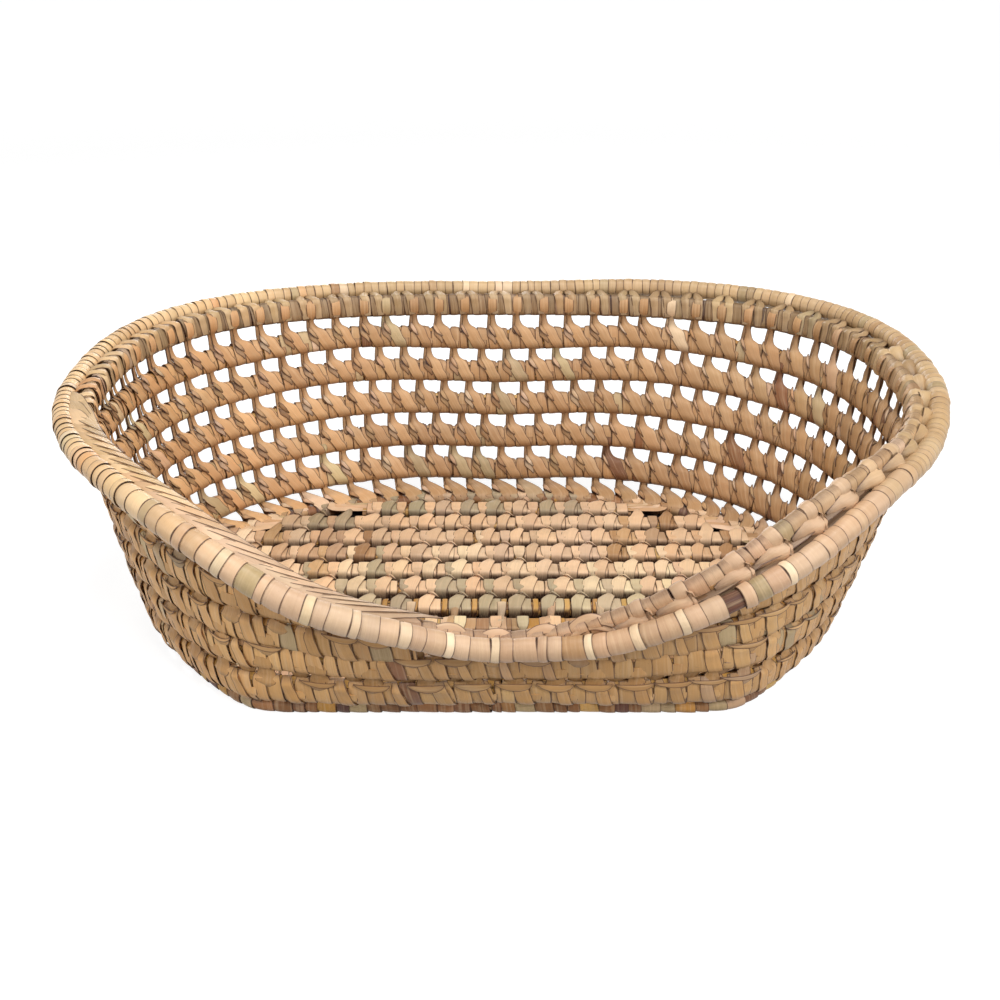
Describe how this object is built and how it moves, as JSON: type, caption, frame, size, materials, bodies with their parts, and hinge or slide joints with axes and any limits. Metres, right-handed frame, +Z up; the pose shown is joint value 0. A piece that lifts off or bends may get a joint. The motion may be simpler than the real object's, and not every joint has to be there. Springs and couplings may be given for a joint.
{
  "type": "pet basket",
  "caption": "Oval open pet basket coiled from palm leaf, with a slatted lace floor, flared lace walls, a low front entry and a bound roll along the rim.",
  "frame": {"origin": "on the ground, under the middle of the basket's outline", "axes": "+Z up, the low entry faces -Y, the long side runs along X"},
  "size_m": [0.4874, 0.3608, 0.1408],
  "materials": {
    "floor_leaf": "flat palm leaf strips, dull, straw to grey-green",
    "wall_leaf": "twisted palm leaf strips, soft sheen, straw to orange-brown",
    "rim_leaf": "tightly wound palm leaf strips, soft sheen, pinkish straw",
    "core_leaf": "bundled leaf ribs, golden to brown, dull"
  },
  "bodies": {
    "root": {"floor_row_01_wrap": "floor_leaf", "floor_row_01_core": "core_leaf", "floor_row_02_wrap": "floor_leaf", "floor_row_02_core": "core_leaf", "floor_row_03_wrap": "floor_leaf", "floor_row_03_core": "core_leaf", "floor_row_04_wrap": "floor_leaf", "floor_row_04_core": "core_leaf", "floor_row_05_wrap": "floor_leaf", "floor_row_05_core": "core_leaf", "floor_row_06_wrap": "floor_leaf", "floor_row_06_core": "core_leaf", "floor_row_07_wrap": "floor_leaf", "floor_row_07_core": "core_leaf", "floor_row_08_wrap": "floor_leaf", "floor_row_08_core": "core_leaf", "floor_row_09_wrap": "floor_leaf", "floor_row_09_core": "core_leaf", "floor_row_10_wrap": "floor_leaf", "floor_row_10_core": "core_leaf", "floor_edge_wrap": "floor_leaf", "floor_edge_core": "core_leaf", "wall_row_1_wrap": "wall_leaf", "wall_row_1_core": "core_leaf", "wall_row_2_wrap": "wall_leaf", "wall_row_2_core": "core_leaf", "wall_row_3_wrap": "wall_leaf", "wall_row_3_core": "core_leaf", "wall_row_4_wrap": "wall_leaf", "wall_row_4_core": "core_leaf", "wall_row_5_wrap": "wall_leaf", "wall_row_5_core": "core_leaf", "rim_band_wrap": "rim_leaf", "rim_band_core": "core_leaf", "rim_roll_wrap": "rim_leaf", "rim_roll_core": "core_leaf"}
  },
  "joints": []
}
